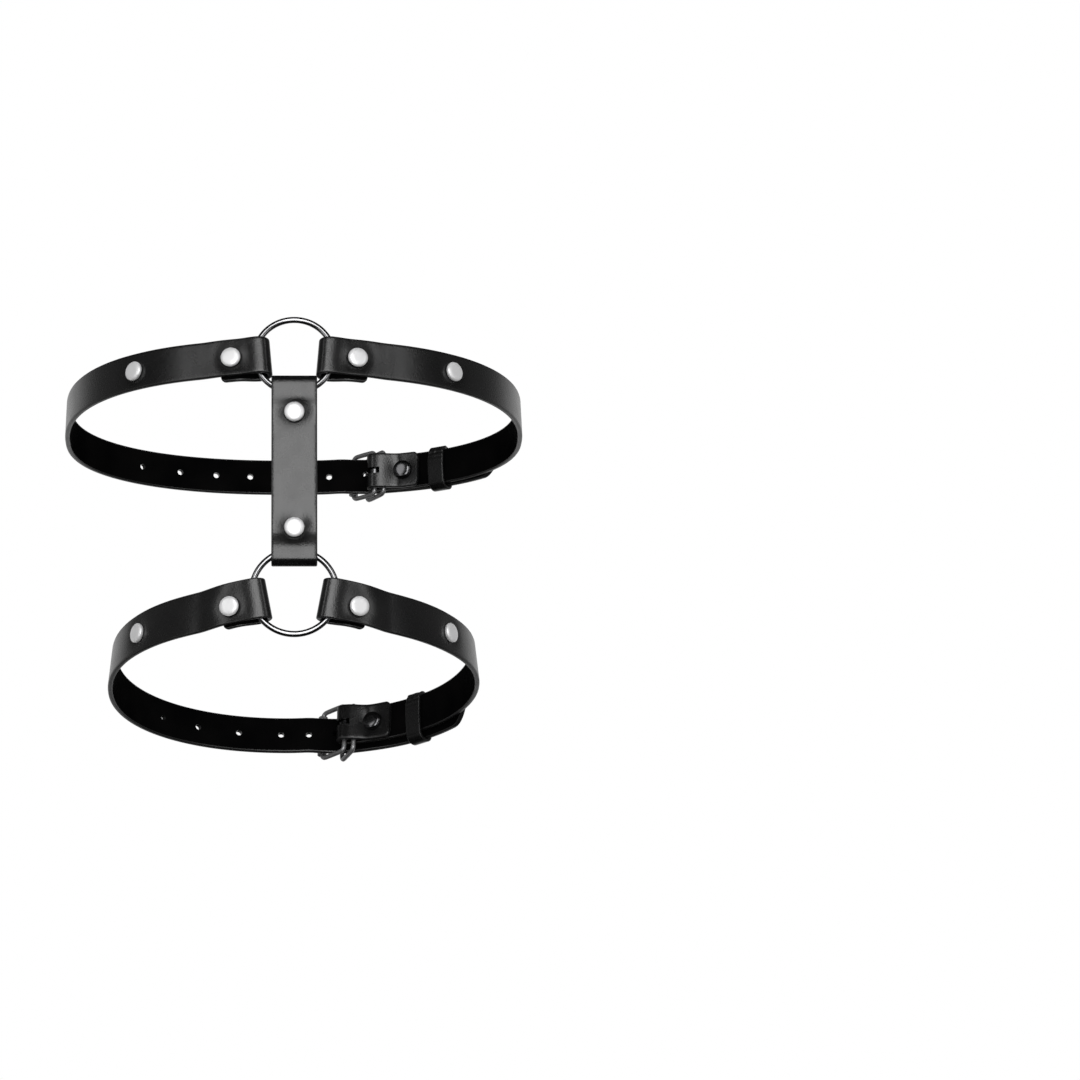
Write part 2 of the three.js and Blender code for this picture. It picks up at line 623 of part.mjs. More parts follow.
function centreStrap() {
  const { upper, lower } = bands;
  const open = (RING_WIRE + LEATHER) / 2 + CENTRE_PLAY;
  const topTurn = upper.ringZ - ringReach(upper);
  const bottomTurn = lower.ringZ + ringReach(lower);
  const topSpread = upper.ringZ - upper.ringRadius - FOLD_SPREAD;
  const bottomSpread = lower.ringZ + lower.ringRadius + FOLD_SPREAD;
  const topClosed = CENTRE_TOP_RIVET + CAP_RADIUS + GAP;
  const bottomClosed = CENTRE_BOTTOM_RIVET - CAP_RADIUS - GAP;
  const front = -LAYER / 2;
  const rows = [
    row(CENTRE_TOP_RIVET - CENTRE_TAB, LAYER / 2),
    row(CENTRE_TOP_RIVET, LAYER / 2),
    row(topClosed, LAYER / 2),
    row(topSpread, open),
    ...halfTurn(topTurn, 0, open, 1, true, () => 0),
    row(topSpread, -open),
    row(topClosed, front),
    row(CENTRE_TOP_RIVET, front),
    row(CENTRE_TOP_RIVET - CENTRE_TAB, front),
    row(CENTRE_BOTTOM_RIVET + CENTRE_TAB, front),
    row(CENTRE_BOTTOM_RIVET, front),
    row(bottomClosed, front),
    row(bottomSpread, -open),
    ...halfTurn(bottomTurn, 0, open, -1, false, () => 0),
    row(bottomSpread, open),
    row(bottomClosed, LAYER / 2),
    row(CENTRE_BOTTOM_RIVET, LAYER / 2),
    row(CENTRE_BOTTOM_RIVET + CENTRE_TAB, LAYER / 2),
  ];
  const marks = [...ROUND_MARKS, ...ROUND_MARKS.map((mark) => -mark)];
  const across = new THREE.Vector3(1, 0, 0);
  const rings = stationsAlong(rows, marks).map(({ done, left, row: at, tangent }) => {
    const middle = new THREE.Vector3(0, centreY + at.y, at.x);
    const through = new THREE.Vector3(0, tangent.x, -tangent.y).normalize();
    const width = Math.min(roundedWidth(CENTRE_WIDTH, done), roundedWidth(CENTRE_WIDTH, left));
    return section({ middle, across, through, width });
  });
  const holes = [CENTRE_TOP_RIVET, CENTRE_BOTTOM_RIVET].map((z) => (
    new THREE.CylinderGeometry(SHANK_HOLE, SHANK_HOLE, DRILL, SHANK_SIDES).translate(0, centreY, z)
  ));
  return piece('centre_strap', cut(skin(rings, false), holes), leather);
}

function centreRivet(name, z) {
  const grip = 2 * LEATHER + GAP + 2 * CAP_GAP;
  const point = new THREE.Vector3(0, centreY - LAYER / 2 - LEATHER / 2 - CAP_GAP, z);
  const axes = [new THREE.Vector3(-1, 0, 0), new THREE.Vector3(0, -1, 0), new THREE.Vector3(0, 0, 1)];
  return piece(name, placed(rivet(grip), point, ...axes), polished);
}

function ring(name, band) {
  const torus = new THREE.TorusGeometry(band.ringRadius, RING_WIRE / 2, WIRE_SIDES, RING_SEGMENTS);
  const mesh = piece(name, torus, polished);
  mesh.position.set(0, ringY(band), band.ringZ);
  mesh.rotation.x = Math.PI / 2 - THREE.MathUtils.degToRad(band.frontLean);
  return mesh;
}

const harness = new THREE.Group();
for (const [name, band] of Object.entries(bands)) {
  const rivetHoles = (side) => [[band.rivetAt, band.rivetDrop], [band.outerRivetAt, 0]]
    .map(([along, drop]) => punch(band, side, along, -LAYER / 2, -drop, SHANK_HOLE, DRILL, SHANK_SIDES));

  const beltHoles = band.holesFromBack
    .map((from) => punch(band, 1, band.length / 2 + from, 0, 0, HOLE_RADIUS, DRILL, HOLE_SIDES));
  const prongHole = wire(prongStations(band), PRONG_WIRE / 2 + GAP, false);
  const holedStrap = bandStrap(band, 1, holedStrapRows(band), true);
  harness.add(piece(`${name}_left_strap`, cut(holedStrap, [...rivetHoles(1), ...beltHoles, prongHole]), leather));

  const heelRivetAt = band.heelAt - band.heelRivet;
  const backCapBed = punch(
    band, -1, heelRivetAt, LEATHER, band.backLift, BACK_CAP_RADIUS + GAP, 2.2 * LEATHER, RIVET_SIDES,
  );
  const heelHoles = [
    punch(band, -1, heelRivetAt, -LAYER / 2, band.backLift, SHANK_HOLE, DRILL, SHANK_SIDES),
    backCapBed,
    tongueSlot(band),
  ];
  const buckleStrap = bandStrap(band, -1, buckleStrapRows(band), false);
  harness.add(piece(`${name}_right_strap`, cut(buckleStrap, [...rivetHoles(-1), ...heelHoles]), leather));

  harness.add(ring(`${name}_ring`, band));
  harness.add(buckleFrame(`${name}_buckle`, band));
  harness.add(roller(`${name}_roller`, band));
  harness.add(tongue(`${name}_tongue`, band));
  harness.add(wireLoop(`${name}_wire_loop`, band));
  harness.add(keeper(`${name}_keeper`, band));
  for (const [side, word] of [[1, 'left'], [-1, 'right']]) {
    harness.add(bandRivet(`${name}_${word}_inner_rivet`, band, side, band.rivetAt, band.rivetDrop, 2));
    harness.add(bandRivet(`${name}_${word}_outer_rivet`, band, side, band.outerRivetAt, 0, 1));
  }
  harness.add(heelRivet(`${name}_heel_rivet`, band));
}
harness.add(centreStrap());
harness.add(centreRivet('centre_top_rivet', CENTRE_TOP_RIVET));
harness.add(centreRivet('centre_bottom_rivet', CENTRE_BOTTOM_RIVET));

export default harness;
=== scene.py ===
import json
import math

import bpy
import numpy as np
from mathutils import Matrix, Vector

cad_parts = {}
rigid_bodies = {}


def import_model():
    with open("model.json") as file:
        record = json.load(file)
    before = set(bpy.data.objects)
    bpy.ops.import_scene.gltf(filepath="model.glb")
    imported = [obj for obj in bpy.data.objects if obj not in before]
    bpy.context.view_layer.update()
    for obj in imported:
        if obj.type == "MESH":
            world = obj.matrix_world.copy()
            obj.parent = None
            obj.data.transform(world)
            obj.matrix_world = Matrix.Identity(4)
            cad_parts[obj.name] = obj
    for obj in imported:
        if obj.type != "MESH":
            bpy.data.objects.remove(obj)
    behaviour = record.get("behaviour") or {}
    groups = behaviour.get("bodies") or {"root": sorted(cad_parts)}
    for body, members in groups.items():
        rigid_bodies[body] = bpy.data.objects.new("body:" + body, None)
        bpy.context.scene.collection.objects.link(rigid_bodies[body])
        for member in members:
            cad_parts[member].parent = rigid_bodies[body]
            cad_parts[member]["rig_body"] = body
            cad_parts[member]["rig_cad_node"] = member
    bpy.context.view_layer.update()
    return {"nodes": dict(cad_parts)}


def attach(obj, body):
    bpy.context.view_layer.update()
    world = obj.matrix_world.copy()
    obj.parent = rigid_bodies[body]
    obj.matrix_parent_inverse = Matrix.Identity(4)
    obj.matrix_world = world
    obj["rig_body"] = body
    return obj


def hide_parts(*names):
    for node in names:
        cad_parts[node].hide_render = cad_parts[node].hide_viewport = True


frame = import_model()

# Camera. The harness is seen from the front and from 15 degrees below, through a long lens at two metres.
# It stands left of the middle of the square picture, so the camera is panned to the right of it.
camera_distance = 2.0
camera_below = math.radians(15)
focal_pixels = 4800
picture_size = 1080
harness_middle_pixel = 294.3
sensor_width = 36
view_reach = 60
pan = math.atan((picture_size / 2 - harness_middle_pixel) / focal_pixels)

to_harness = Vector((0, math.cos(camera_below), math.sin(camera_below)))
picture_up = Vector((0, -math.sin(camera_below), math.cos(camera_below)))
view = to_harness * math.cos(pan) + Vector((1, 0, 0)) * math.sin(pan)
picture_right = view.cross(picture_up)
turn = Matrix((picture_right, picture_up, -view)).transposed().to_4x4()
camera_place = -to_harness * camera_distance
bpy.ops.object.camera_add(location=camera_place)
camera = bpy.context.object
camera.matrix_world = Matrix.Translation(camera_place) @ turn
camera.data.sensor_width = sensor_width
camera.data.lens = sensor_width * focal_pixels / picture_size
camera.data.clip_end = view_reach
bpy.context.scene.camera = camera

# Studio. A pale floor lies below the harness, which is held up by its thigh mount. The room is white, but
# polished things mirror dimmer walls, floor and ceiling. A tall soft box stands in front, a narrower one on
# each side of it, and a fourth hangs above.
floor_height = -0.78
floor_radius = 6
floor_colour = (0.58, 0.58, 0.57, 1)
floor_roughness = 0.7
bpy.ops.object.select_all(action="DESELECT")
bpy.ops.mesh.primitive_circle_add(
    vertices=96, radius=floor_radius, fill_type="NGON", location=(0, 0, floor_height))
floor = bpy.context.object
floor.name = "studio_floor"
pale = bpy.data.materials.new("pale_floor")
pale.use_nodes = True
pale_shader = pale.node_tree.nodes["Principled BSDF"]
pale_shader.inputs["Base Color"].default_value = floor_colour
pale_shader.inputs["Roughness"].default_value = floor_roughness
floor.data.materials.append(pale)
floor.visible_glossy = False

world = bpy.context.scene.world or bpy.data.worlds.new("studio_world")
bpy.context.scene.world = world
world.use_nodes = True
room = world.node_tree
room.nodes.clear()
direction = room.nodes.new("ShaderNodeTexCoord")
split = room.nodes.new("ShaderNodeSeparateXYZ")

# Brightness of the mirrored room at shares of the way, from front to back and from floor to ceiling
wall_light = ((0.0, 0.12), (0.3, 0.14), (0.5, 0.2), (0.76, 0.25), (0.88, 0.8), (1.0, 1.0))
height_light = ((0.0, 0.05), (0.2, 0.1), (0.34, 1.0), (0.66, 1.0), (0.8, 0.1), (1.0, 0.05))
shades = []
for axis, stops in (("Y", wall_light), ("Z", height_light)):
    spread_out = room.nodes.new("ShaderNodeMapRange")
    spread_out.inputs["From Min"].default_value = -1
    room.links.new(split.outputs[axis], spread_out.inputs["Value"])
    shade = room.nodes.new("ShaderNodeValToRGB")
    while len(shade.color_ramp.elements) < len(stops):
        shade.color_ramp.elements.new(0.5)
    for stop, (place, brightness) in zip(shade.color_ramp.elements, stops):
        stop.position = place
        stop.color = (brightness, brightness, brightness, 1)
    room.links.new(spread_out.outputs["Result"], shade.inputs["Fac"])
    shades.append(shade)
walls = room.nodes.new("ShaderNodeMath")
walls.operation = "MULTIPLY"
room.links.new(shades[0].outputs["Color"], walls.inputs[0])
room.links.new(shades[1].outputs["Color"], walls.inputs[1])
kind_of_ray = room.nodes.new("ShaderNodeLightPath")
white_room = room.nodes.new("ShaderNodeBackground")
white_room.inputs["Color"].default_value = (1, 1, 1, 1)
lit_room = room.nodes.new("ShaderNodeBackground")
either_room = room.nodes.new("ShaderNodeMixShader")
room_out = room.nodes.new("ShaderNodeOutputWorld")
room.links.new(direction.outputs["Generated"], split.inputs["Vector"])
room.links.new(walls.outputs["Value"], lit_room.inputs["Strength"])
room.links.new(kind_of_ray.outputs["Is Glossy Ray"], either_room.inputs["Fac"])
room.links.new(white_room.outputs["Background"], either_room.inputs[1])
room.links.new(lit_room.outputs["Background"], either_room.inputs[2])
room.links.new(either_room.outputs["Shader"], room_out.inputs["Surface"])
bpy.context.scene.view_settings.view_transform = "Standard"


def soft_box(name, place, aim, width, height, watts):
    bpy.ops.object.light_add(type="AREA", location=place)
    lamp = bpy.context.object
    lamp.name = name
    lamp.data.shape = "RECTANGLE"
    lamp.data.size = width
    lamp.data.size_y = height
    lamp.data.energy = watts
    lamp.rotation_euler = (Vector(aim) - Vector(place)).to_track_quat("-Z", "Y").to_euler()
    lamp.visible_camera = False
    return lamp


soft_box("front_box", (-0.03, -1.6, 0.14), aim=(0, 0, 0.08), width=0.62, height=1.7, watts=17.5)
for name, place in (("left_box", (-1.11, -1.15, 0.2)), ("right_box", (1.11, -1.15, 0.2))):
    soft_box(name, place, aim=(0, 0, 0), width=0.34, height=1.4, watts=3.4)
top_box = soft_box("top_box", (0, -0.1, 2.2), aim=(0, 0, 0), width=0.9, height=0.6, watts=12)
top_box.visible_glossy = False

# Band straps. Each band is two lengths of black bridle leather, 2 mm thick, with a smooth grain face, a
# duller flesh side and painted edges. Each is folded back round a ring in front, and the two meet at the
# buckle behind. Sizes are in millimetres from here on.
MM = 0.001
leather_thickness = 2.0
leather_gap = 0.3
layer = leather_thickness + leather_gap
wire_of_ring = 2.5
wire_play = 0.25
buckle_wire = 2.0
cap_radius = 4.0
cap_gap = 0.5
back_cap_radius = 3.0

# The fold round a ring, and where the layers of a band lie together again, from the ring's wire
fold_open_to = 1.5
fold_closed = 10.0
fold_hang = (0.9, 0.1)  # shares of the tab's drop, behind the wire and in front of it
straight_to = 18.0
curved_from = 38.0

# The fold round a buckle's heel bar, and the wire loop's bar inside it
heel_open = (buckle_wire + leather_thickness) / 2 + cap_gap
heel_slope_from = 0.8
heel_closed = 12.0
heel_slope_steps = 7
loop_behind_heel = 4.2
loop_room = 0.6 * buckle_wire
way_to_lift = ((0.35, 0), (0.5, 0.5), (0.65, 0.95), (0.8, 1))  # share of the way to the heel, of the lift

# The holed strap's way through the buckle
buckle_length = 10.5
prong_hole = 4.8
prong_hole_out = 1.9
front_bar_push = 0.9
free_before_bar = 14.0
free_end_clear = 0.12
overlap = layer + free_end_clear
tip_droop = 0.3

# Where the two bands run. Each is a rounded oval seen from above, and travels are taken along it.
bands = {
    "upper": dict(
        width=15.5, half_width=94.2, front_y=-95.0, side_y=4.0, back_y=82.0, fullness=2.32,
        side_z=49.9, droop=0.0, ring_rise=2.2, rise_reach=38.0,
        front_lean=5.0, back_lean=3.0, side_flare=2.0,
        ring_z=51.1, ring_radius=15.55, fold_at=12.9, tab_end=30.2, tab_drop=1.7,
        rivet_at=25.3, rivet_drop=0.3, outer_rivet_at=68.8,
        heel_from_back=35.8, back_lift=0.8, strap_lift=0.4, keeper_from_back=65.0,
        holes_from_back=(-69.0, -50.6, -34.2, -19.2, -2.0, 15.2), tip_from_back=96.5,
        heel_rivet=13.0, heel_tab=20.2),
    "lower": dict(
        width=16.3, half_width=74.0, front_y=-95.0, side_y=-21.0, back_y=51.0, fullness=2.15,
        side_z=-62.15, droop=0.138, ring_rise=5.7, rise_reach=45.0,
        front_lean=-4.0, back_lean=17.0, side_flare=6.0,
        ring_z=-46.5, ring_radius=16.8, fold_at=13.9, tab_end=31.0, tab_drop=1.5,
        rivet_at=26.1, rivet_drop=1.4, outer_rivet_at=73.4,
        heel_from_back=22.0, back_lift=3.0, strap_lift=0.3, keeper_from_back=55.7,
        holes_from_back=(-61.0, -42.5, -23.8, -5.6, 6.2), tip_from_back=84.5,
        heel_rivet=12.8, heel_tab=21.2),
}


def smoothstep(value, low, high):
    share = min(1.0, max(0.0, (value - low) / (high - low)))
    return share * share * (3 - 2 * share)


def unit(vector):
    return vector / np.linalg.norm(vector)


def band_point(band, angle):
    depth = band["side_y"] - band["front_y"] if math.cos(angle) > 0 else band["back_y"] - band["side_y"]
    width_part = abs(math.sin(angle) / band["half_width"]) ** band["fullness"]
    depth_part = abs(math.cos(angle) / depth) ** band["fullness"]
    radius = (width_part + depth_part) ** (-1 / band["fullness"])
    x = -radius * math.sin(angle)
    oval_y = band["side_y"] - radius * math.cos(angle)
    at_front = 1.0 if oval_y < band["side_y"] else 0.0
    near_ring = max(0.0, 1 - abs(x) / band["rise_reach"])
    straight = at_front * (1 - smoothstep(abs(x), straight_to, curved_from))
    y = oval_y + (band["front_y"] - oval_y) * straight
    rise = at_front * band["ring_rise"] * near_ring ** 2
    return np.array((x, y, band["side_z"] - band["droop"] * (y - band["side_y"]) + rise))


band_steps = 1440
for band in bands.values():
    angles = np.linspace(0, 2 * math.pi, band_steps + 1)
    ring_of_points = np.array([band_point(band, angle) for angle in angles])
    steps = np.linalg.norm(np.diff(ring_of_points, axis=0), axis=1)
    band["angles"] = angles
    band["travels"] = np.concatenate(([0], np.cumsum(steps)))
    band["length"] = band["travels"][-1]
    band["heel_at"] = band["length"] / 2 - band["heel_from_back"]


def band_frame(band, side, along):
    travel = along if side > 0 else band["length"] - along
    angle = float(np.interp(travel % band["length"], band["travels"], band["angles"]))
    slight = 0.002
    run = unit(band_point(band, angle + slight) - band_point(band, angle - slight))
    backness = (1 - math.cos(angle)) / 2
    lean = math.radians(band["front_lean"] + (band["back_lean"] - band["front_lean"]) * backness)
    flare = math.radians(band["side_flare"])
    up = np.array((math.tan(flare) * math.sin(angle), math.tan(lean), 1.0))
    up = unit(up - run * up.dot(run))
    return band_point(band, angle), run * side, np.cross(up, run), up


def spot(band, side, along, out, lift=0.0):
    point, _, outward, up = band_frame(band, side, along)
    return point + outward * out + up * lift


def half_turn(along, out, radius, toward, starts_outside, lift_from=0.0, lift_to=0.0, rows_in_turn=7):
    """Rows round half a circle, as distance along, distance out and lift."""
    start = 1 if starts_outside else -1
    rows = []
    for share in np.linspace(0, 1, rows_in_turn):
        ahead = along + toward * radius * math.sin(math.pi * share)
        outward = out + start * radius * math.cos(math.pi * share)
        rows.append((ahead, outward, lift_from + (lift_to - lift_from) * share))
    return rows


def closing_rows(start, end, out_from, out_to, lift=0.0, steps=5):
    """Rows along a layer that leaves one height and settles softly at another."""
    rows = []
    for k in range(steps + 1):
        settled = smoothstep(k, 0, steps)
        rows.append((start + (end - start) * k / steps, out_from + (out_to - out_from) * settled, lift))
    return rows


def ring_end(band):
    middle = -layer / 2
    opened = (wire_of_ring + leather_thickness) / 2 + wire_play
    fold = band["fold_at"]
    hung = -band["tab_drop"]
    closed, still_open = fold + fold_closed, fold + fold_open_to
    return [
        (band["tab_end"], -layer, hung),
        *closing_rows(closed, still_open, -layer, middle - opened, hung),
        *half_turn(fold, middle, opened, -1, False, *(hung * share for share in fold_hang)),
        *closing_rows(still_open, closed, middle + opened, 0),
        (band["rivet_at"] + cap_radius, 0, 0),
    ]


def buckle_strap_rows(band):
    heel = band["heel_at"]
    lift = band["back_lift"]
    tab_open = heel - loop_behind_heel - loop_room
    slope_from, slope_to = heel - heel_slope_from, heel - heel_closed
    return [
        *ring_end(band),
        *[(heel * way, 0, lift * share) for way, share in way_to_lift],
        (heel - band["heel_tab"], 0, lift),
        (tab_open, 0, lift),
        *half_turn(heel, -heel_open, heel_open, 1, True, lift, lift),
        *closing_rows(slope_from, slope_to, -2 * heel_open, -layer, lift, heel_slope_steps),
        (heel - band["heel_tab"], -layer, lift),
    ]


def holed_strap_rows(band):
    heel = band["length"] - band["heel_at"]
    bar = heel - buckle_length
    lift = band["strap_lift"]
    return [
        *ring_end(band),
        (band["length"] / 4, 0, 0),
        (bar - free_before_bar, 0, lift / 2),
        (bar - free_before_bar / 3, 0, lift),
        (bar, front_bar_push, lift),
        (heel - prong_hole, prong_hole_out, lift),
        (heel + back_cap_radius / 3, overlap, lift),
        (heel + 2 * cap_radius, overlap, lift),
        (band["length"] / 2 + band["tip_from_back"], overlap, -tip_droop),
    ]


def route(rows, longest, largest_turn, fine_steps=80, end_reach=9, shortest=0.15):
    """A smooth line through rows, as stations: distance done, distance left, point and direction."""
    points = np.array(rows, float)
    padded = np.vstack((2 * points[0] - points[1], points, 2 * points[-1] - points[-2]))
    dense = []
    for k in range(len(points) - 1):
        p0, p1, p2, p3 = padded[k:k + 4]
        d0, d1, d2 = (max(np.linalg.norm(b - a), 1e-6) ** 0.5 for a, b in ((p0, p1), (p1, p2), (p2, p3)))
        start = ((p1 - p0) / d0 - (p2 - p0) / (d0 + d1) + (p2 - p1) / d1) * d1
        end = ((p2 - p1) / d1 - (p3 - p1) / (d1 + d2) + (p3 - p2) / d2) * d1
        for t in np.linspace(0, 1, fine_steps, endpoint=False):
            dense.append(p1 + start * t + (3 * (p2 - p1) - 2 * start - end) * t ** 2
                         + (2 * (p1 - p2) + start + end) * t ** 3)
    dense.append(points[-1])
    dense = np.array(dense)
    done = np.concatenate(([0], np.cumsum(np.linalg.norm(np.diff(dense, axis=0), axis=1))))
    runs = np.gradient(dense, done, axis=0)
    runs /= np.linalg.norm(runs, axis=1)[:, None]
    stations = [0]
    for k in range(1, len(dense)):
        bent = math.acos(min(1.0, float(runs[k].dot(runs[stations[-1]]))))
        near_end = min(done[k], done[-1] - done[k]) < end_reach
        too_far = done[k] - done[stations[-1]] > (longest / 3 if near_end else longest)
        if bent > largest_turn or too_far:
            stations.append(k)
    if done[-1] - done[stations[-1]] < shortest:
        stations.pop()
    stations.append(len(dense) - 1)
    return [(done[k], done[-1] - done[k], dense[k], runs[k]) for k in stations]


def rounded_end(width, left, corner=2.2):
    if left >= corner:
        return width
    return width - 2 * corner + 2 * math.sqrt(max(0.0, corner ** 2 - (corner - left) ** 2))


def pointed_end(width, left, taper=8.5, tip=4.0, bluntness=0.8):
    if left >= taper:
        return width
    return tip + (width - tip) * math.sin(math.pi / 2 * left / taper) ** bluntness


def smooth_faces(piece, angle):
    bpy.ops.object.select_all(action="DESELECT")
    piece.select_set(True)
    bpy.context.view_layer.objects.active = piece
    bpy.ops.object.shade_smooth_by_angle(angle=math.radians(angle))


def apply_modifiers(piece):
    bpy.context.view_layer.objects.active = piece
    for modifier in list(piece.modifiers):
        bpy.ops.object.modifier_apply(modifier=modifier.name)


strip_columns = 18
grain, flesh, edge_paint = 0, 1, 2
same_point = 0.000001


def strip_outline(thickness, rounding):
    """Once round a strip's cut end: share of the width, reach past it, height, and the finish from there."""
    half = thickness / 2
    corner = [math.radians(turn) for turn in (60, 30, 0)]
    edge = [(rounding * math.cos(turn), half - rounding + rounding * math.sin(turn)) for turn in corner]
    edge += [(reach, -height) for reach, height in reversed(edge)]
    shares = np.linspace(-1, 1, strip_columns + 1)
    outline = [(share, 0, half, grain) for share in shares[:-1]] + [(1, 0, half, edge_paint)]
    outline += [(1, reach, height, edge_paint) for reach, height in edge]
    outline += [(share, 0, -half, flesh) for share in shares[:0:-1]] + [(-1, 0, -half, edge_paint)]
    outline += [(-1, -reach, height, edge_paint) for reach, height in reversed(edge)]
    return outline + outline[:1]


def leather_strip(name, done, middles, acrosses, throughs, widths, dents,
                  thickness=leather_thickness, rounding=0.6):
    """A flat strip with rounded edges, bent to its stations and pressed in by its dents."""
    outline = strip_outline(thickness, rounding)
    bpy.ops.object.select_all(action="DESELECT")
    bpy.ops.mesh.primitive_grid_add(x_subdivisions=len(done) - 1, y_subdivisions=len(outline) - 1, size=2)
    strip = bpy.context.object
    strip.name = name
    mesh = strip.data
    place_of = []
    for vertex in mesh.vertices:
        k = round((vertex.co.x + 1) / 2 * (len(done) - 1))
        j = round((vertex.co.y + 1) / 2 * (len(outline) - 1))
        place_of.append((k, j))
        share, reach, height, _ = outline[j]
        offset = share * (widths[k] / 2 - rounding) + reach
        pressed = sum(depth * math.exp(-((done[k] - at) ** 2 + (offset - aside) ** 2) / spread ** 2)
                      for at, aside, depth, spread in dents)
        through = height + pressed * (height / thickness + 0.5)
        vertex.co = Vector((middles[k] + acrosses[k] * offset + throughs[k] * through) * MM)
    flat_cut = mesh.uv_layers[0]
    flat_cut.name = "cut"
    for face in mesh.polygons:
        face.material_index = outline[min(place_of[v][1] for v in face.vertices)][3]
        for loop in face.loop_indices:
            k, j = place_of[mesh.loops[loop].vertex_index]
            flat_cut.data[loop].uv = (done[k] * MM, j * MM)
    bpy.ops.object.mode_set(mode="EDIT")
    bpy.ops.mesh.select_all(action="SELECT")
    bpy.ops.mesh.remove_doubles(threshold=same_point)
    bpy.ops.mesh.fill_holes(sides=0)
    bpy.ops.mesh.select_all(action="SELECT")
    bpy.ops.mesh.normals_make_consistent(inside=False)
    bpy.ops.object.mode_set(mode="OBJECT")
    for face in mesh.polygons:
        if len(face.vertices) > 4:
            face.material_index = edge_paint
    for finish in (grain_face, flesh_side, painted_edge):
        mesh.materials.append(finish)
    return strip


def leather_piece(strip, node):
    smooth_faces(strip, angle=35)
    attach(strip, "root")
    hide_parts(node)


def cut_away(strip, cutters):
    bpy.ops.object.select_all(action="DESELECT")
    for part in cutters:
        part.select_set(True)
    bpy.context.view_layer.objects.active = cutters[0]
    if len(cutters) > 1:
        bpy.ops.object.join()
    cutter = bpy.context.object
    hollow = strip.modifiers.new("hollow", "BOOLEAN")
    hollow.operation = "DIFFERENCE"
    hollow.solver = "EXACT"
    hollow.object = cutter
    apply_modifiers(strip)
    bpy.data.objects.remove(cutter)


def turned(point, x_axis, y_axis, z_axis):
    turn = Matrix([list(axis) for axis in (x_axis, y_axis, z_axis)]).transposed().to_4x4()
    return Matrix.Translation(Vector(point * MM)) @ turn


def round_cutter(band, side, along, out, lift, radius, length=8):
    _, run, outward, up = band_frame(band, side, along)
    bpy.ops.mesh.primitive_cylinder_add(vertices=40, radius=radius * MM, depth=length * MM)
    drill = bpy.context.object
    drill.data.transform(turned(spot(band, side, along, out, lift), run * side, -up, outward))
    return drill


def new_material(name):
    material = bpy.data.materials.new(name)
    material.use_nodes = True
    return material, material.node_tree, material.node_tree.nodes["Principled BSDF"]


def noise(tree, scale, detail=4.0, roughness=0.5):
    texture = tree.nodes.new("ShaderNodeTexNoise")
    texture.inputs["Scale"].default_value = scale
    texture.inputs["Detail"].default_value = detail
    texture.inputs["Roughness"].default_value = roughness
    place = tree.nodes.new("ShaderNodeTexCoord")
    tree.links.new(place.outputs["Object"], texture.inputs["Vector"])
    return texture


def ramp(tree, source, low, high, low_colour, high_colour):
    node = tree.nodes.new("ShaderNodeValToRGB")
    node.color_ramp.elements[0].position = low
    node.color_ramp.elements[0].color = (*low_colour, 1)
    node.color_ramp.elements[1].position = high
    node.color_ramp.elements[1].color = (*high_colour, 1)
    tree.links.new(source, node.inputs["Fac"])
    return node


def ranged(tree, source, low, high):
    node = tree.nodes.new("ShaderNodeMapRange")
    node.inputs["To Min"].default_value = low
    node.inputs["To Max"].default_value = high
    tree.links.new(source, node.inputs["Value"])
    return node


cloud_scale, wear_scale, pebble_scale, pore_scale = 55, 140, 1500, 2600
pore_share = 0.6
grain_relief = 0.00012


def grain_leather(name, dark, light, roughness_low, roughness_high, grain_depth, gloss):
    material, tree, shader = new_material(name)
    cloudy = noise(tree, cloud_scale)
    tint = ramp(tree, cloudy.outputs["Fac"], 0.35, 0.68, dark, light)
    tree.links.new(tint.outputs["Color"], shader.inputs["Base Color"])
    worn = noise(tree, wear_scale, 6)
    polish = ranged(tree, worn.outputs["Fac"], roughness_low, roughness_high)
    tree.links.new(polish.outputs["Result"], shader.inputs["Roughness"])
    place = tree.nodes.new("ShaderNodeTexCoord")
    pebbles = tree.nodes.new("ShaderNodeTexVoronoi")
    pebbles.inputs["Scale"].default_value = pebble_scale
    pebbles.feature = "SMOOTH_F1"
    tree.links.new(place.outputs["Object"], pebbles.inputs["Vector"])
    pores = noise(tree, pore_scale, 3)
    both = tree.nodes.new("ShaderNodeMath")
    both.operation = "MULTIPLY_ADD"
    both.inputs[1].default_value = pore_share
    tree.links.new(pores.outputs["Fac"], both.inputs[0])
    tree.links.new(pebbles.outputs["Distance"], both.inputs[2])
    bump = tree.nodes.new("ShaderNodeBump")
    bump.inputs["Strength"].default_value = grain_depth
    bump.inputs["Distance"].default_value = grain_relief
    tree.links.new(both.outputs["Value"], bump.inputs["Height"])
    tree.links.new(bump.outputs["Normal"], shader.inputs["Normal"])
    shader.inputs["Specular IOR Level"].default_value = gloss
    return material


grain_face = grain_leather(
    "grain_face", dark=(0.0016, 0.0016, 0.0017), light=(0.003, 0.0029, 0.0029),
    roughness_low=0.22, roughness_high=0.32, grain_depth=0.26, gloss=0.55)
flesh_side = grain_leather(
    "flesh_side", dark=(0.0008, 0.0008, 0.0009), light=(0.0018, 0.0017, 0.0017),
    roughness_low=0.75, roughness_high=0.9, grain_depth=0.5, gloss=0.004)
painted_edge = grain_leather(
    "painted_edge", dark=(0.003, 0.003, 0.0033), light=(0.007, 0.0068, 0.0068),
    roughness_low=0.30, roughness_high=0.42, grain_depth=0.3, gloss=0.6)


def nearest_done(stations, along, out):
    """How far along its route a strip comes nearest to a place, kept to the right layer."""
    def miss(station):
        return (station[2][0] - along) ** 2 + layer_weight * (station[2][1] - out) ** 2
    return min(stations, key=miss)[0]


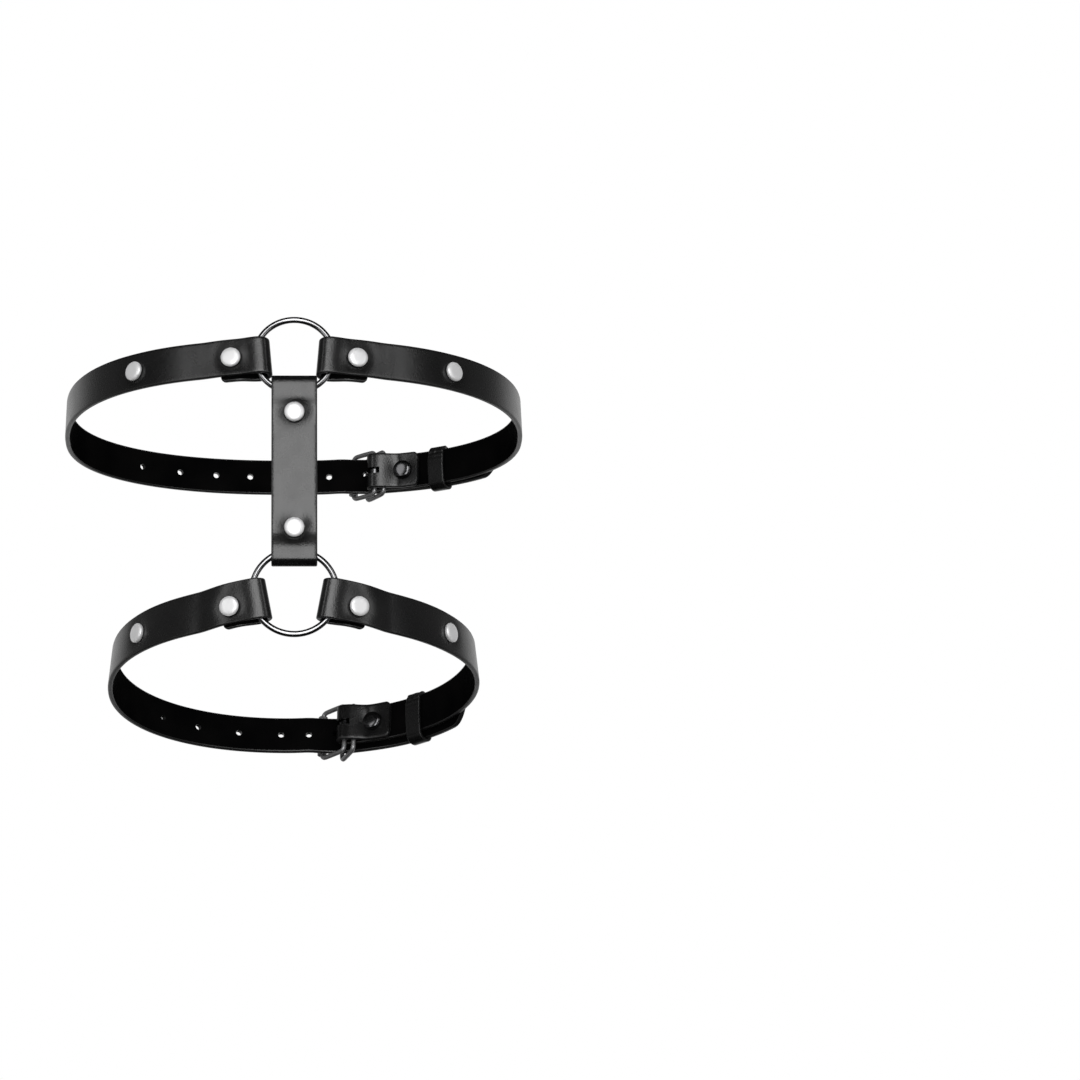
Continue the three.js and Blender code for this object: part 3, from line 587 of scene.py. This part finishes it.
def strap_from_band(name, band, side, rows, pointed, dent_rows):
    stations = route(rows, station_spacing, station_turn)
    middles, acrosses, throughs, widths = [], [], [], []
    for done, left, (along, out, lift), run in stations:
        _, ahead, outward, up = band_frame(band, side, along)
        heading = unit(ahead * run[0] + outward * run[1])
        through = unit(outward * run[0] - ahead * run[1])
        middles.append(spot(band, side, along, out, lift))
        throughs.append(through)
        acrosses.append(unit(np.cross(heading, through)))
        far_end = pointed_end(band["width"], left) if pointed else rounded_end(band["width"], left)
        widths.append(min(rounded_end(band["width"], done), far_end))
    dents = []
    for dent_along, dent_out, aside, depth, reach in dent_rows:
        dents.append((nearest_done(stations, dent_along, dent_out), aside, depth, reach))
    done = [station[0] for station in stations]
    return leather_strip(name, done, middles, acrosses, throughs, widths, dents)


station_spacing = 1.2
station_turn = math.radians(7)
layer_weight = 9  # keeps a dent on its own layer when the nearest station is looked for
inner_dent, outer_dent, heel_dent = (-1.1, 4.8), (-0.9, 4.7), (-0.8, 4.7)  # depth and reach
hole_radius = 1.25
prong_hole_radius = 1.2
prong_cut_out = 1.6
prong_cut_lift = 0.8
slot_length, slot_depth, slot_width = 6.6, 9, 2.7
slot_ahead = 0.6

for level, band in bands.items():
    ring_dents = [
        (band["rivet_at"], 0, -band["rivet_drop"], *inner_dent),
        (band["outer_rivet_at"], 0, 0, *outer_dent),
    ]
    holed = strap_from_band(f"{level}_holed_strap", band, 1, holed_strap_rows(band), True, ring_dents)
    punches = [round_cutter(band, 1, band["length"] / 2 + at, 0, 0, hole_radius)
               for at in band["holes_from_back"]]
    hole_along = band["length"] - band["heel_at"] - prong_hole
    hole_lift = band["strap_lift"] + prong_cut_lift
    punches.append(round_cutter(band, 1, hole_along, prong_cut_out, hole_lift, prong_hole_radius))
    cut_away(holed, punches)
    leather_piece(holed, f"{level}_left_strap")

    heel_dents = [(along, out, -aside, *dent) for along, out, aside, *dent in ring_dents]
    heel_dents.append((band["heel_at"] - band["heel_rivet"], -layer, 0, *heel_dent))
    buckled = strap_from_band(f"{level}_buckle_strap", band, -1, buckle_strap_rows(band), False, heel_dents)
    bpy.ops.mesh.primitive_cube_add(size=1)
    slot_cutter = bpy.context.object
    slot_cutter.data.transform(Matrix.Diagonal((slot_length * MM, slot_depth * MM, slot_width * MM, 1)))
    slot_place = spot(band, -1, band["heel_at"], -heel_open, band["back_lift"])
    _, ahead, outward, up = band_frame(band, -1, band["heel_at"])
    slot_cutter.data.transform(turned(slot_place + ahead * slot_ahead, -ahead, outward, up))
    cut_away(buckled, [slot_cutter])
    leather_piece(buckled, f"{level}_right_strap")

# Upright strap. A wider length of the same leather stands between the rings, folded back round each of them
# and held by a rivet through both layers above and below.
centre_width = 18.2
centre_fold_side = 9.4
centre_top_rivet = 26.8
centre_bottom_rivet = -20.8
centre_tab = 6.5
centre_play = 0.4
fold_spread = 0.7  # past the ring's wire, before the layers close up
closed_past_top_rivet = 0.3 * cap_radius
closed_past_bottom_rivet = -0.2 * cap_radius
centre_spacing = 1.0
centre_dent = (0, -1.0, 4.8)  # aside, depth and reach
side_dent = (3.0, -0.35, 3.6)
side_dent_before = 2.0


def ring_lean(band):
    return math.tan(math.radians(band["front_lean"]))


def ring_y(band):
    in_fold = spot(band, 1, band["fold_at"], -layer / 2)
    return in_fold[1] + (band["ring_z"] - in_fold[2]) * ring_lean(band)


def ring_reach(band):
    return math.sqrt(band["ring_radius"] ** 2 - centre_fold_side ** 2)


upper, lower = bands["upper"], bands["lower"]
upper_wire_y = ring_y(upper) - (upper["ring_radius"] + ring_reach(upper)) / 2 * ring_lean(upper)
lower_wire_y = ring_y(lower) + (lower["ring_radius"] + ring_reach(lower)) / 2 * ring_lean(lower)
centre_y = (upper_wire_y + lower_wire_y) / 2
centre_open = (wire_of_ring + leather_thickness) / 2 + centre_play
top_turn = upper["ring_z"] - ring_reach(upper)
bottom_turn = lower["ring_z"] + ring_reach(lower)
top_spread = upper["ring_z"] - upper["ring_radius"] - fold_spread
bottom_spread = lower["ring_z"] + lower["ring_radius"] - fold_spread
top_closed = centre_top_rivet + closed_past_top_rivet
bottom_closed = centre_bottom_rivet + closed_past_bottom_rivet
centre_rows = [
    (centre_top_rivet - centre_tab, layer / 2, 0),
    *closing_rows(top_closed, top_spread, layer / 2, centre_open),
    *half_turn(top_turn, 0, centre_open, 1, True),
    *closing_rows(top_spread, top_closed, -centre_open, -layer / 2),
    (centre_top_rivet - centre_tab, -layer / 2, 0),
    (centre_bottom_rivet + centre_tab, -layer / 2, 0),
    *closing_rows(bottom_closed, bottom_spread, -layer / 2, -centre_open),
    *half_turn(bottom_turn, 0, centre_open, -1, False),
    *closing_rows(bottom_spread, bottom_closed, centre_open, layer / 2),
    (centre_bottom_rivet + centre_tab, layer / 2, 0),
]
centre_stations = route(centre_rows, centre_spacing, station_turn)
centre_middles = [np.array((0, centre_y + at[1], at[0])) for _, _, at, _ in centre_stations]
centre_throughs = [unit(np.array((0, run[0], -run[1]))) for _, _, _, run in centre_stations]
centre_acrosses = [np.array((1.0, 0, 0)) for _ in centre_stations]
centre_widths = [min(rounded_end(centre_width, done), rounded_end(centre_width, left))
                 for done, left, _, _ in centre_stations]
centre_dents = []
for height in (centre_top_rivet, centre_bottom_rivet):
    at_rivet = nearest_done(centre_stations, height, -layer / 2)
    centre_dents.append((at_rivet, *centre_dent))
    centre_dents.append((at_rivet - side_dent_before, *side_dent))
centre_done = [station[0] for station in centre_stations]
centre = leather_strip("upright_strap", centre_done, centre_middles, centre_acrosses,
                       centre_throughs, centre_widths, centre_dents)
leather_piece(centre, "centre_strap")

# Rings. Round steel wire, bent, welded and polished, then nickel plated. The upper ring is a little
# smaller. Each is held by the folds of its two band straps and of the upright strap.
smudge_scale, scuff_scale = 120, 900
smudge_tint = 0.94
scuff_strength = 0.05
scuff_relief = 0.00003


def plated_metal(name, colour, roughness_low, roughness_high, metallic=1.0):
    material, tree, shader = new_material(name)
    shader.inputs["Metallic"].default_value = metallic
    smudges = noise(tree, smudge_scale, 5)
    smudged = tuple(part * smudge_tint for part in colour)
    tint = ramp(tree, smudges.outputs["Fac"], 0.3, 0.7, smudged, colour)
    tree.links.new(tint.outputs["Color"], shader.inputs["Base Color"])
    scuffs = noise(tree, scuff_scale, 6, 0.65)
    polish = ranged(tree, scuffs.outputs["Fac"], roughness_low, roughness_high)
    tree.links.new(polish.outputs["Result"], shader.inputs["Roughness"])
    bump = tree.nodes.new("ShaderNodeBump")
    bump.inputs["Strength"].default_value = scuff_strength
    bump.inputs["Distance"].default_value = scuff_relief
    tree.links.new(scuffs.outputs["Fac"], bump.inputs["Height"])
    tree.links.new(bump.outputs["Normal"], shader.inputs["Normal"])
    return material


bright_nickel = plated_metal(
    "bright_nickel", (0.27, 0.27, 0.275), roughness_low=0.16, roughness_high=0.24)
satin_nickel = plated_metal(
    "satin_nickel", (0.66, 0.66, 0.665), roughness_low=0.38, roughness_high=0.46, metallic=0.55)
dark_nickel = plated_metal(
    "dark_nickel", (0.3, 0.3, 0.305), roughness_low=0.28, roughness_high=0.42, metallic=0.85)
black_nickel = plated_metal(
    "black_nickel", (0.11, 0.11, 0.113), roughness_low=0.12, roughness_high=0.24)


def metal_piece(piece, node, plating, angle):
    piece.data.materials.append(plating)
    smooth_faces(piece, angle)
    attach(piece, "root")
    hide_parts(node)


for level, band in bands.items():
    bpy.ops.object.select_all(action="DESELECT")
    bpy.ops.mesh.primitive_torus_add(
        major_radius=band["ring_radius"] * MM, minor_radius=wire_of_ring / 2 * MM,
        major_segments=112, minor_segments=24)
    ring = bpy.context.object
    ring.name = f"{level}_o_ring"
    tilt = Matrix.Rotation(math.pi / 2 - math.radians(band["front_lean"]), 4, "X")
    ring_middle = Vector((0, ring_y(band) * MM, band["ring_z"] * MM))
    ring.data.transform(Matrix.Translation(ring_middle) @ tilt)
    metal_piece(ring, f"{level}_ring", bright_nickel, angle=60)

# Rivets. Each is a low domed steel cap, 8 mm across, on a shank through the leather, with a flatter cap
# behind. The rim is turned under and presses into the leather. The front caps have a satin nickel plate, and
# the two on the buckle folds a black one.
cap_height = 1.15
dome_squareness = 4.2
rim_drop = 0.9
shank_radius = 1.5
back_cap_height = 0.8
back_rim = 0.25
sunk = 0.1


def rivet_outline(grip):
    outs = (0, 0.12, 0.25, 0.38, 0.5, 0.6, 0.7, 0.79, 0.86, 0.92, 0.96, 0.985)
    dome = [(cap_radius * out, cap_height * (1 - out ** dome_squareness) ** 0.5) for out in outs]
    rim = [(cap_radius, 0.1), (cap_radius - 0.03, -rim_drop / 2), (cap_radius - 0.25, -rim_drop)]
    shank = [(shank_radius, -rim_drop), (shank_radius, -grip + back_rim)]
    back = [
        (back_cap_radius - 0.2, -grip + back_rim), (back_cap_radius, -grip),
        (back_cap_radius - 0.1, -grip - back_cap_height / 2),
        (back_cap_radius - 0.6, -grip - back_cap_height), (0, -grip - back_cap_height),
    ]
    return dome + rim + shank + back


def spun_rivet(name, grip):
    """A rivet about +Z with its cap's underside at zero, spun from its outline."""
    outline = rivet_outline(grip)
    bpy.ops.object.select_all(action="DESELECT")
    bpy.ops.mesh.primitive_plane_add(size=1)
    rivet = bpy.context.object
    rivet.name = name
    mesh = rivet.data
    mesh.clear_geometry()
    mesh.from_pydata([(r * MM, 0, z * MM) for r, z in outline],
                     [(k, k + 1) for k in range(len(outline) - 1)], [])
    bpy.ops.object.mode_set(mode="EDIT")
    bpy.ops.mesh.select_all(action="SELECT")
    bpy.ops.mesh.spin(steps=48, angle=2 * math.pi, center=(0, 0, 0), axis=(0, 0, 1))
    bpy.ops.mesh.select_all(action="SELECT")
    bpy.ops.mesh.remove_doubles(threshold=2 * same_point)
    bpy.ops.mesh.normals_make_consistent(inside=False)
    bpy.ops.object.mode_set(mode="OBJECT")
    return rivet


def place_rivet(rivet, node, placing, plating=satin_nickel):
    rivet.data.transform(placing)
    metal_piece(rivet, node, plating, angle=50)


def leather_stack(layers):
    return layers * leather_thickness + (layers - 1) * leather_gap


for level, band in bands.items():
    front_rivets = (
        (band["rivet_at"], band["rivet_drop"], 2, "inner"),
        (band["outer_rivet_at"], 0, 1, "outer"),
    )
    for side, word in ((1, "left"), (-1, "right")):
        for along, drop, layers, which in front_rivets:
            grip = leather_stack(layers) + 2 * cap_gap
            rivet = spun_rivet(f"{level}_{word}_{which}_cap", grip)
            _, run, outward, up = band_frame(band, side, along)
            seat = spot(band, side, along, leather_thickness / 2 + cap_gap, -drop)
            place_rivet(rivet, f"{level}_{word}_{which}_rivet", turned(seat, run * side, -up, outward))
    heel_along = band["heel_at"] - band["heel_rivet"]
    heel_grip = leather_stack(2) + cap_gap - back_cap_height - sunk
    rivet = spun_rivet(f"{level}_fold_cap", heel_grip)
    _, run, outward, up = band_frame(band, -1, heel_along)
    seat = spot(band, -1, heel_along, -layer - leather_thickness / 2 - cap_gap, band["back_lift"])
    place_rivet(rivet, f"{level}_heel_rivet", turned(seat, run, up, -outward), black_nickel)

for height, word in ((centre_top_rivet, "top"), (centre_bottom_rivet, "bottom")):
    rivet = spun_rivet(f"upright_{word}_cap", leather_stack(2) + 2 * cap_gap)
    seat = np.array((0, centre_y - layer / 2 - leather_thickness / 2 - cap_gap, height))
    place_rivet(rivet, f"centre_{word}_rivet", turned(seat, (1, 0, 0), (0, 0, 1), (0, -1, 0)))

# Buckles. A flat wire frame with a roller on its front bar and a prong on its heel bar, and a second wire
# loop in the same fold for the free end. They are bent from 2 mm steel wire with a dark nickel plate. The
# prong's plate is black.
same_corner = 0.00001
wire_swell = 0.1
rounding_levels = 2
roller_edge = 0.25
prong_grain = 0.16


def merged_copy(node, name):
    """A copy of a solid's own mesh with its loose corners joined, left open in edit mode."""
    source = frame["nodes"][node]
    copy = source.copy()
    copy.data = source.data.copy()
    copy.name = name
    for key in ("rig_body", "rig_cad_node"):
        if key in copy:
            del copy[key]
    copy.parent = None
    bpy.context.scene.collection.objects.link(copy)
    copy.data.materials.clear()
    bpy.ops.object.select_all(action="DESELECT")
    copy.select_set(True)
    bpy.context.view_layer.objects.active = copy
    bpy.ops.object.mode_set(mode="EDIT")
    bpy.ops.mesh.select_all(action="SELECT")
    bpy.ops.mesh.remove_doubles(threshold=same_corner)
    return copy


def buckle_piece(piece, node, plating=dark_nickel):
    metal_piece(piece, node, plating, angle=50)


for level in bands:
    for part, word in (("buckle", "buckle_frame"), ("wire_loop", "free_end_loop")):
        bent = merged_copy(f"{level}_{part}", f"{level}_{word}")
        bpy.ops.mesh.tris_convert_to_quads(face_threshold=1.2, shape_threshold=1.2)
        bpy.ops.transform.shrink_fatten(value=wire_swell * MM)
        bpy.ops.object.mode_set(mode="OBJECT")
        rounder = bent.modifiers.new("rounder", "SUBSURF")
        rounder.levels = rounding_levels
        rounder.render_levels = rounding_levels
        apply_modifiers(bent)
        buckle_piece(bent, f"{level}_{part}")

    tube = merged_copy(f"{level}_roller", f"{level}_roller_tube")
    bpy.ops.mesh.dissolve_limited(angle_limit=math.radians(2))
    bpy.ops.object.mode_set(mode="OBJECT")
    tube_edge = tube.modifiers.new("rolled_edge", "BEVEL")
    tube_edge.width = roller_edge * MM
    tube_edge.segments = 3
    tube_edge.limit_method = "ANGLE"
    tube_edge.angle_limit = math.radians(60)
    apply_modifiers(tube)
    buckle_piece(tube, f"{level}_roller")

    prong = merged_copy(f"{level}_tongue", f"{level}_prong")
    bpy.ops.object.mode_set(mode="OBJECT")
    cast = prong.modifiers.new("cast", "REMESH")
    cast.mode = "VOXEL"
    cast.voxel_size = prong_grain * MM
    eased = prong.modifiers.new("eased", "SMOOTH")
    eased.iterations = 4
    apply_modifiers(prong)
    buckle_piece(prong, f"{level}_tongue", black_nickel)

# Keepers. A narrow band of thinner leather is closed into a loop round both layers behind each buckle, and
# holds the free end down. It is soft, and puckers where it turns over the upper edge.
keeper_width = 7.5
keeper_thickness = 1.3
keeper_rounding = 0.3
keeper_play = 0.35
keeper_turn = 3.0
keeper_steps = 149
pucker_depth, pucker_beat, pucker_reach = 0.16, 3.1, 4.2
belly_depth = 0.35
keeper_slant, top_slant = 0.06, 0.5
pinched_by, pinched_below_top, pinch_reach = 0.5, 2.5, 1.5
crease_depth, crease_reach = -0.22, 0.9
creases_at = ((48, -2.2), (50, 1.6), (54, -0.4), (57, 2.6))  # step round the loop and how far aside


def keeper_line(inner, outer, low, high):
    """Once round a keeper, from the middle of its outer side: how far out and how high."""
    corners = ((outer, high, 0), (inner, high, 90), (inner, low, 180), (outer, low, 270))
    line = [(outer, 0.0)]
    for out, height, start in corners:
        middle_out = out - keeper_turn if out == outer else out + keeper_turn
        middle_height = height - keeper_turn if height == high else height + keeper_turn
        for turn in range(start, start + 91, 15):
            line.append((middle_out + keeper_turn * math.cos(math.radians(turn)),
                         middle_height + keeper_turn * math.sin(math.radians(turn))))
    closing_gap = 0.05
    line.append((outer, -closing_gap))
    return np.array(line)


for level, band in bands.items():
    along = band["length"] / 2 - band["keeper_from_back"]
    grown = keeper_thickness / 2
    inner = -leather_thickness / 2 - cap_gap - grown
    outer = layer + leather_thickness / 2 + cap_gap + grown
    low = -band["width"] / 2 - keeper_play - grown
    high = band["width"] / 2 + keeper_play + band["back_lift"] + grown
    loop_line = keeper_line(inner, outer, low, high)
    legs = np.linalg.norm(np.diff(loop_line, axis=0), axis=1)
    travelled = np.concatenate(([0], np.cumsum(legs)))
    keeper_done = np.linspace(0, travelled[-1], keeper_steps + 1)
    outs = np.interp(keeper_done, travelled, loop_line[:, 0])
    heights = np.interp(keeper_done, travelled, loop_line[:, 1])
    _, ahead, outward, up = band_frame(band, -1, along)
    seat = spot(band, -1, along, 0)
    keeper_middles = []
    for out, height in zip(outs, heights):
        near_top = math.exp(-((height - high) / pucker_reach) ** 2)
        inside = smoothstep(-out, -layer, 0.5)
        pucker = pucker_depth * near_top * inside * math.sin(height * pucker_beat)
        belly = -belly_depth * inside * math.cos(math.pi * height / (high - low)) * (1 - near_top)
        slant = ahead * (keeper_slant * height - top_slant * inside * near_top)
        keeper_middles.append(seat + outward * (out + pucker + belly) + up * height + slant)
    keeper_middles = np.array(keeper_middles)
    keeper_runs = np.gradient(keeper_middles, axis=0)
    keeper_throughs = [unit(np.cross(unit(run), ahead)) for run in keeper_runs]
    if keeper_throughs[0].dot(outward) < 0:
        keeper_throughs = [-through for through in keeper_throughs]
    pinches = [math.exp(-((height - high + pinched_below_top) / pinch_reach) ** 2) for height in heights]
    keeper_widths = [keeper_width - pinched_by * pinch for pinch in pinches]
    creases = [(keeper_done[k], aside, crease_depth, crease_reach) for k, aside in creases_at]
    keeper = leather_strip(f"{level}_keeper_loop", keeper_done, keeper_middles, [ahead] * len(keeper_done),
                           keeper_throughs, keeper_widths, creases, keeper_thickness, keeper_rounding)
    leather_piece(keeper, f"{level}_keeper")
